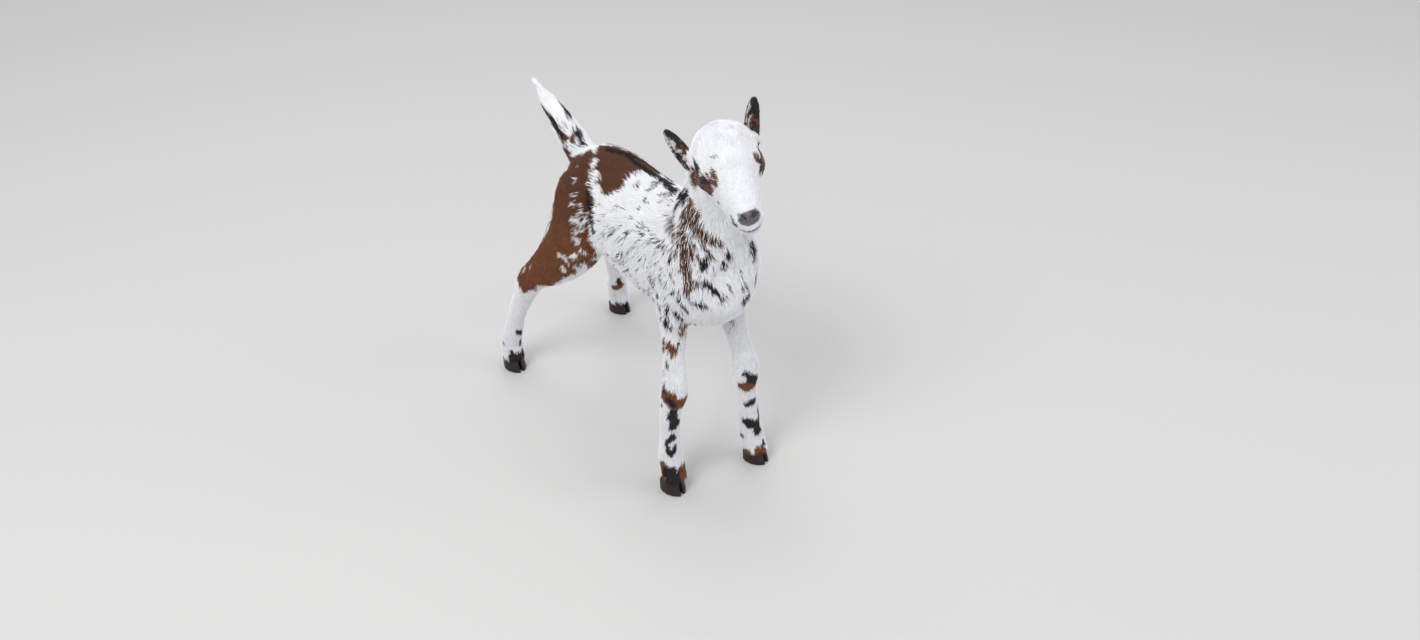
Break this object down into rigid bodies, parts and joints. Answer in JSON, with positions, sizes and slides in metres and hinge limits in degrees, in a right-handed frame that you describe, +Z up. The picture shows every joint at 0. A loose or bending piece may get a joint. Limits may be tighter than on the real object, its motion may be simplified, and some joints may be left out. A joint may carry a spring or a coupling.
{
  "type": "goat kid",
  "caption": "Life-size still model of a newborn spotted goat kid, standing with legs apart, head turned and tail raised.",
  "frame": {"origin": "middle of the model's outline on the floor", "axes": "+Z up; the kid faces -Y and its left side is +X"},
  "size_m": [0.1736, 0.3886, 0.3829],
  "materials": {
    "coat": "short soft hair, white with brown and black marks",
    "coat_brown": "short soft chestnut hair",
    "ear": "short dark hair outside, thin pale hair inside",
    "hoof": "dark horn",
    "eye": "wet and glossy"
  },
  "bodies": {
    "root": {"claw_fore_left_inner": "hoof", "claw_fore_left_outer": "hoof", "claw_fore_right_inner": "hoof", "claw_fore_right_outer": "hoof", "claw_hind_left_inner": "hoof", "claw_hind_left_outer": "hoof", "claw_hind_right_inner": "hoof", "claw_hind_right_outer": "hoof", "ear_left": "ear", "ear_right": "ear", "eye_left": "eye", "eye_right": "eye", "head": "coat", "leg_fore_left_lower": "coat", "leg_fore_left_upper": "coat", "leg_fore_right_lower": "coat", "leg_fore_right_upper": "coat", "leg_hind_left_lower": "coat", "leg_hind_left_upper": "coat_brown", "leg_hind_right_lower": "coat", "leg_hind_right_upper": "coat_brown", "neck": "coat", "tail": "coat", "torso": "coat"}
  },
  "joints": []
}
